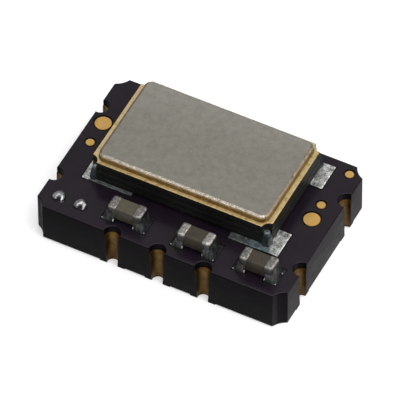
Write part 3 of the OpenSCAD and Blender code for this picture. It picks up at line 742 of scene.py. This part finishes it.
# Painted shade: the ring's gold is painted dark brown, as the shade and dark reflection on its
# upright sides.
shaded_ring_gold = grained(
    "shaded_ring_gold", [(0.080, 0.048, 0.0135), (0.142, 0.091, 0.035)],
    per_mm=6, rough=(0.38, 0.54), bump=0.4, bump_per_mm=14, Metallic=1.0,
)
ring.data.materials.append(shaded_ring_gold)
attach(ring, "root")
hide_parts("sealing_ring")

# Lid. A flat nickel-plated sheet, tacked on the ring and seam welded by two rollers, which press
# its edge down into a shallow sloping border.
LID_TOP = 2.24
LID_L, LID_W, LID_R = 5.06, 2.99, 0.21
LID_FOOT = ((0.012, 0.0), (0.003, 0.004), (0.0, 0.014))
# How far in from the edge, and how far down from the top.
LID_BORDER = (
    (0.0, 0.048),
    (0.0025, 0.037),
    (0.009, 0.028),
    (0.019, 0.0215),
    (0.033, 0.015),
    (0.046, 0.0075),
    (0.058, 0.003),
    (0.070, 0.0005),
    (0.083, 0.0),
)
PRESSED_DOWN = 0.0015
lid_levels = [(inset, RING_TOP + up) for inset, up in LID_FOOT]
lid_levels += [(inset, LID_TOP - down) for inset, down in LID_BORDER]
lid = skin("seam_welded_lid", plate_loops(on_package(LID_L, LID_W, LID_R), lid_levels), sharp=60)
lid_nickel = grained(
    "lid_nickel", [(0.293, 0.278, 0.242), (0.327, 0.311, 0.271), (0.355, 0.338, 0.296)],
    per_mm=6, rough=(0.37, 0.45), bump=0.16, bump_per_mm=18, Metallic=1.0,
    # Painted sheen: the nickel is painted lighter towards the lid's back edge, as a reflection.
    painted_sheen=(
        (-0.15, 1.0, 0.0), 0.75, 2.2,
        [(0.345, 0.330, 0.290), (0.385, 0.368, 0.324), (0.415, 0.398, 0.352)],
    ),
)
weld_metal = grained(
    "weld_metal", [(0.235, 0.208, 0.17), (0.36, 0.325, 0.273), (0.48, 0.435, 0.375)],
    per_mm=9, rough=(0.3, 0.44), bump=0.6, bump_per_mm=20, Metallic=1.0,
)
# Painted shade: the border along the lid's ends takes a darker, browner copy of the weld metal.
shaded_end_weld = grained(
    "shaded_end_weld", [(0.14, 0.112, 0.082), (0.205, 0.168, 0.128), (0.27, 0.226, 0.175)],
    per_mm=9, rough=(0.34, 0.48), bump=0.5, bump_per_mm=20, Metallic=1.0,
)
for finish in (lid_nickel, weld_metal, shaded_end_weld):
    lid.data.materials.append(finish)
for face in lid.data.polygons:
    if face.center.z < (LID_TOP - PRESSED_DOWN) * MM and face.normal.z > -0.5:
        face.material_index = 2 if abs(face.normal.x) > abs(face.normal.y) else 1
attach(lid, "root")
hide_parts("lid")

# Resonator. Inside the sealed cavity a thin quartz blank with vapour-deposited electrodes stands
# on two dots of silver-filled adhesive, on gold pads of the cavity's shelf.
quartz = grained(
    "quartz", [(0.70, 0.75, 0.78), (0.80, 0.84, 0.86)],
    per_mm=3, rough=(0.08, 0.16), bump=0.05, IOR=1.54,
)
electrode_gold = grained(
    "electrode_gold", [(0.74, 0.55, 0.22), (0.82, 0.64, 0.30)],
    per_mm=4, rough=(0.18, 0.28), bump=0.1, Metallic=1.0,
)
silver_paste = grained(
    "silver_paste", [(0.42, 0.42, 0.40), (0.58, 0.58, 0.56)],
    per_mm=12, rough=(0.45, 0.62), bump=0.5, Metallic=0.8,
)
shelf_gold = grained(
    "shelf_gold", [(0.55, 0.36, 0.12), (0.70, 0.48, 0.18)],
    per_mm=6, rough=(0.3, 0.42), bump=0.2, Metallic=1.0,
)
refinish("quartz_blank", quartz)
refinish("top_electrode", electrode_gold)
refinish("bottom_electrode", electrode_gold)
refinish("adhesive_dot_1", silver_paste)
refinish("adhesive_dot_2", silver_paste)
refinish("shelf_pads", shelf_gold)

# Oscillator chip. A silicon die, face down in the well under the blank, on six gold bumps that
# join it to the ceramic floor.
die_silicon = grained(
    "die_silicon", [(0.085, 0.09, 0.105), (0.13, 0.135, 0.15)],
    per_mm=5, rough=(0.2, 0.3), bump=0.05, Metallic=0.5,
)
bump_gold = grained(
    "bump_gold", [(0.62, 0.42, 0.14), (0.74, 0.52, 0.2)],
    per_mm=10, rough=(0.25, 0.35), bump=0.2, Metallic=1.0,
)
refinish("oscillator_chip", die_silicon)
refinish("chip_bumps", bump_gold)

# Capacitor lands. Small lands of tinned copper, etched from the board's top layer, one under each
# end of the three chip capacitors.
refinish("capacitor_lands", tinned_land)

# Capacitor bodies. Fired blocks of ceramic and fine metal layers, beige grey, tumbled so that
# their edges are round.
CAP_L, CAP_W, CAP_H, CAP_SEAT = 1.02, 0.48, 0.49, 1.32
METAL_T, BLOCK_R = 0.02, 0.055
BLOCK_L, BLOCK_W, BLOCK_H = CAP_L - 2 * METAL_T, CAP_W - 2 * METAL_T, CAP_H - 2 * METAL_T
# Painted shade: the blocks' steep sides take darker colours than their tops.
olive_block = grained(
    "olive_block", [(0.0435, 0.038, 0.026), (0.065, 0.0575, 0.038), (0.054, 0.046, 0.032)],
    per_mm=6, rough=(0.42, 0.55), bump=0.25, bump_per_mm=26,
    painted_flanks=[(0.018, 0.015, 0.0106), (0.035, 0.0294, 0.019)], Specular_IOR_Level=0.22,
)
brown_block = grained(
    "brown_block", [(0.0255, 0.0204, 0.0153), (0.039, 0.0323, 0.023), (0.0357, 0.0315, 0.0204)],
    per_mm=6, rough=(0.42, 0.55), bump=0.25, bump_per_mm=26,
    painted_flanks=[(0.015, 0.0112, 0.0082), (0.028, 0.0225, 0.0147)], Specular_IOR_Level=0.2,
)


def section(width, height, r, x):
    """A rounded section across the capacitor at x, standing on its seat."""
    outline = round_cornered(width / 2, height / 2, r, 7)
    return [(x, y, z + CAP_H / 2) for y, z in outline]


def block_end(width, height, length, r, turns=5):
    """Sections that round off the +x end of a block, from its straight part outwards."""
    loops = []
    for i in range(turns + 1):
        a = math.radians(90 * i / turns)
        back = r * (1 - math.cos(a))
        across = max(0.004, r - back * 0.7)
        at = length / 2 - r + r * math.sin(a)
        loops.append(section(width - 2 * back, height - 2 * back, across, at))
    return loops


def place_on_board(loops, x, side=1):
    """Loops of a capacitor moved to its place, with its left end mirrored from its right."""
    return [[(x + side * px, CAP_Y + py, CAP_SEAT + pz) for px, py, pz in loop] for loop in loops]


block_right = block_end(BLOCK_W, BLOCK_H, BLOCK_L, BLOCK_R)
block_left = [[(-px, py, pz) for px, py, pz in loop] for loop in reversed(block_right)]
for number, x in enumerate(CAP_XS, 1):
    block_loops = place_on_board(block_left + block_right, x)
    block = skin(f"capacitor_block_{number}", block_loops, sharp=50)
    block.data.materials.append(olive_block if number == 1 else brown_block)
    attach(block, "root")
    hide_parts(f"capacitor_body_{number}")

# Capacitor ends. Copper caps, dipped, fired and tin plated, that wrap each end of the block; the
# dip stopped at an uneven line, which leaves a wavy lip.
END_L, CAP_R = 0.24, 0.085
# Width, height and corner radius of each section, how far it lies past the line, and its waves.
LIPS = (
    (BLOCK_W, BLOCK_H, BLOCK_R, 0.0, 0.03),
    (BLOCK_W + 0.012, BLOCK_H + 0.012, 0.06, -0.002, 0.03),
    (CAP_W - 0.008, CAP_H - 0.008, 0.08, 0.012, 0.03),
    (CAP_W, CAP_H, CAP_R, 0.035, 0.015),
)
# Painted shade: the tin's steep sides take darker colours than its top.
end_tin = grained(
    "end_tin", [(0.11, 0.105, 0.092), (0.235, 0.226, 0.207), (0.40, 0.385, 0.357)],
    per_mm=11, rough=(0.32, 0.46), bump=0.6, bump_per_mm=22,
    specks=((0.055, 0.053, 0.048), 22, 0.585),
    painted_flanks=[(0.03, 0.029, 0.027), (0.08, 0.078, 0.073)], Metallic=0.95,
)
fresh_tin = grained(
    "fresh_tin", [(0.17, 0.164, 0.151), (0.35, 0.339, 0.315), (0.57, 0.556, 0.52)],
    per_mm=11, rough=(0.32, 0.46), bump=0.6, bump_per_mm=22,
    specks=((0.10, 0.097, 0.09), 22, 0.6),
    painted_flanks=[(0.035, 0.033, 0.030), (0.095, 0.090, 0.082)], Metallic=0.95,
)
cap_shell = block_end(CAP_W, CAP_H, CAP_L, CAP_R, 8)
capacitor_ends = [(x, side) for x in CAP_XS for side in (-1, 1)]
for number, (x, side) in enumerate(capacitor_ends, 1):
    lips = []
    for width, height, r, past_line, wave in LIPS:
        lips.append([
            (px + wave * noise.noise(Vector((py * 9, pz * 9, x + side))), py, pz)
            for px, py, pz in section(width, height, r, CAP_L / 2 - END_L + past_line)
        ])
    cap_loops = place_on_board(block_right[::-1] + lips + cap_shell, x, side)
    cap_end = skin(f"capacitor_cap_{number}", cap_loops, sharp=50)
    cap_end.data.materials.append(fresh_tin if x == CAP_XS[1] else end_tin)
    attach(cap_end, "root")
    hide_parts(f"capacitor_end_{number}")

# Capacitor solder. Each end stands in solder that climbs it high as a glassy fillet, painted dark
# as the dark surroundings it mirrors, and freezes in small beads at the corners of the land,
# painted bright as a highlight.
FILLET_SHOULDER, FILLET_RISE, FILLET_CREST_HALF = 0.26, 0.14, 0.26
FILLET_END_TUCK, FILLET_SIDE_TUCK = 0.03, 0.02
FILLET_REACH, FILLET_BACK_LOSS, FILLET_SIDE_REACH = 0.165, 0.11, 0.088
CORNER_BEAD_H, CORNER_BEAD_EDGE = 0.04, 0.45
# Places from the middle of the land, and radii.
CORNER_BEADS = ((0.168, -0.288, 0.027), (-0.168, -0.292, 0.018))
LAST_BEAD = (0.163, 0.12, 0.022)
# Painted highlight: the beads' faces are painted bright.
highlight_bead = grained(
    "highlight_bead", [(0.40, 0.395, 0.395), (0.64, 0.63, 0.63)],
    per_mm=12, rough=(0.2, 0.32), bump=0.2, Metallic=1.0,
)
# Painted light and shade: the solder is painted dark, as the dark surroundings it mirrors, and its
# steep faces lighter.
capacitor_joint = grained(
    "capacitor_joint", [(0.006, 0.006, 0.0061), (0.016, 0.016, 0.0165), (0.036, 0.0365, 0.038)],
    per_mm=9, rough=(0.3, 0.44), bump=0.45, bump_per_mm=14, stretch=(1, 1, 0.4),
    painted_flanks=[(0.010, 0.010, 0.0102), (0.034, 0.034, 0.0352), (0.078, 0.079, 0.082)],
    Metallic=0.6, Specular_IOR_Level=0.2,
)


def solder_fillet(number, x, side):
    """The solder at one end of a capacitor; the last end has a third bead behind."""
    middle = x + side * CAP_LAND_X
    beads = [(side * u, v, r) for u, v, r in CORNER_BEADS]
    if number == len(capacitor_ends):
        beads.append(LAST_BEAD)

    def bead_at(px, py):
        """How far a point lies in one of the beads of this land, from 0 to 1."""
        return max(
            math.exp(-((px - middle - u) ** 2 + (py - CAP_Y - v) ** 2) / r**2) for u, v, r in beads
        )

    def fillet_height(px, py):
        """Height above the board, which falls off past the end and beside the cap."""
        beyond = max(0.0, (px - x) * side - CAP_L / 2 + FILLET_END_TUCK)
        beside = max(0.0, abs(py - CAP_Y) - CAP_W / 2 + FILLET_SIDE_TUCK)
        behind = min(1.0, max(0.0, (py - CAP_Y + 0.14) / 0.3))
        reach = FILLET_REACH - FILLET_BACK_LOSS * behind
        away = math.hypot(beyond / reach, beside / FILLET_SIDE_REACH)
        crest = FILLET_RISE * min(1.0, beyond / FILLET_END_TUCK)
        crest *= math.exp(-((py - CAP_Y) / FILLET_CREST_HALF) ** 4)
        bead = bead_at(px, py)
        slope = (1 - bead) * (FILLET_SHOULDER + crest) * max(0.0, 1 - away ** 1.3)
        return FILM_H + CORNER_BEAD_H * bead + slope

    name, size = f"capacitor_joint_{number}", (CAP_LAND_L, CAP_LAND_W)
    pool = solder_pool(name, (middle, CAP_Y), size, fillet_height, pitch=0.009, uneven=0.006)
    inner_end = section(CAP_W, CAP_H, CAP_R, 0.0)
    cut_away(pool, skin("cutter", place_on_board([inner_end] + cap_shell, x, side)))
    pool.data.materials.append(capacitor_joint)
    pool.data.materials.append(highlight_bead)
    for face in pool.data.polygons:
        if bead_at(face.center.x / MM, face.center.y / MM) > CORNER_BEAD_EDGE:
            face.material_index = 1
    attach(pool, "root")
    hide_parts(f"capacitor_solder_{number}")


for number, (x, side) in enumerate(capacitor_ends, 1):
    solder_fillet(number, x, side)

# Studio. A plain white light table under a soft, bright sky of diffusers, and the camera at the
# photograph's angle, far off with a long lens.
TABLE_HALF = 400
table_corners = [(x * TABLE_HALF, y * TABLE_HALF, 0) for x, y in CORNERS]
table = piece_from("table_top", table_corners, [(0, 1, 2, 3)])
table.data.materials.append(grained(
    "white_table", [(0.87, 0.87, 0.87), (0.89, 0.89, 0.89)],
    per_mm=0.02, rough=(0.85, 0.95),
    Specular_IOR_Level=0.1, Emission_Color=(1, 1, 1, 1), Emission_Strength=0.12,
))

world = bpy.data.worlds.new("diffuser_sky")
world.use_nodes = True
sky = world.node_tree.nodes["Background"]
sky.inputs["Color"].default_value = (1, 1, 1, 1)
sky.inputs["Strength"].default_value = 0.55
bpy.context.scene.world = world
bpy.context.scene.view_settings.view_transform = "Standard"


def direction_to(azimuth, elevation):
    """The way from the part to a place; azimuth 0 is in front, 90 to the right."""
    a, e = math.radians(azimuth), math.radians(elevation)
    return Vector((math.sin(a) * math.cos(e), -math.cos(a) * math.cos(e), math.sin(e)))


def soft_light(name, azimuth, elevation, distance, size, watts):
    """A square diffuser that faces the part."""
    away = direction_to(azimuth, elevation)
    lamp = bpy.data.lights.new(name, "AREA")
    lamp.shape, lamp.size, lamp.energy = "SQUARE", size * MM, watts
    light = bpy.data.objects.new(name, lamp)
    light.location = away * distance * MM
    light.rotation_euler = away.to_track_quat("Z", "Y").to_euler()
    bpy.context.scene.collection.objects.link(light)


soft_light("overhead_diffuser", azimuth=60, elevation=72, distance=120, size=110, watts=0.10)
soft_light("front_diffuser", azimuth=-10, elevation=38, distance=110, size=50, watts=0.030)
soft_light("right_diffuser", azimuth=102, elevation=25, distance=120, size=150, watts=0.140)

AZIMUTH, ELEVATION, ROLL = 27.5, 49.8, 0.5
DISTANCE, FOCAL_PX, PHOTO_PX, SENSOR_W = 189.9, 7050, 400, 36
AIM_RIGHT_PX, AIM_UP_PX = -0.4, 17.6
PX = DISTANCE / FOCAL_PX
back = direction_to(AZIMUTH, ELEVATION)
level = Vector((math.cos(math.radians(AZIMUTH)), math.sin(math.radians(AZIMUTH)), 0))
roll = math.radians(ROLL)
right = level * math.cos(roll) - back.cross(level) * math.sin(roll)
up = back.cross(right)
lens = bpy.data.cameras.new("long_lens")
lens.sensor_width, lens.lens = SENSOR_W, SENSOR_W * FOCAL_PX / PHOTO_PX
lens.clip_start, lens.clip_end = 0.01, 10
camera = bpy.data.objects.new("camera", lens)
camera.location = (back * DISTANCE + right * AIM_RIGHT_PX * PX + up * AIM_UP_PX * PX) * MM
camera.rotation_euler = Matrix((right, up, back)).transposed().to_euler()
bpy.context.scene.collection.objects.link(camera)
bpy.context.scene.camera = camera
